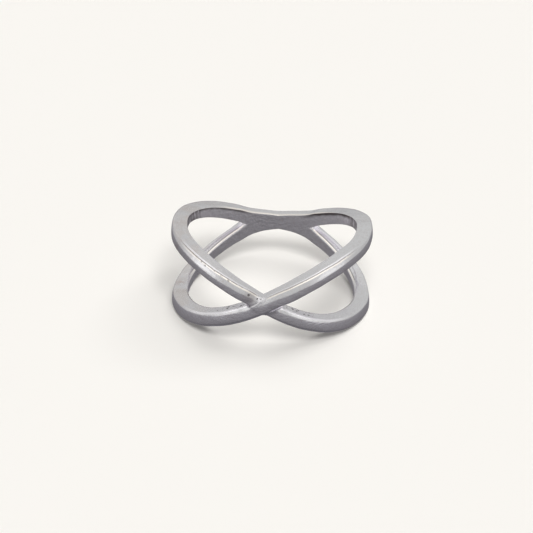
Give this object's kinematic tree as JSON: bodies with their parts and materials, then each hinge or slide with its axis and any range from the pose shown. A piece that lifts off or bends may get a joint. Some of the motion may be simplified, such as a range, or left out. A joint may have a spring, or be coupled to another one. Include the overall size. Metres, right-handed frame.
{
  "type": "crossover finger ring",
  "caption": "Crossover finger ring: two plain silver bands that cross at the front and back of the finger and part at the sides, soldered into one piece.",
  "frame": {"origin": "on the finger axis, in the plane that the two lower lobes rest on, in the middle of the ring's outer box", "axes": "+Z along the finger axis, upright as the ring lies on its side; -Y towards the front crossing; +X to the right seen from the front"},
  "size_m": [0.0206, 0.02, 0.0088],
  "materials": {
    "silver": "satin polished sterling silver"
  },
  "bodies": {
    "root": {"crossover_band": "silver"}
  },
  "joints": []
}
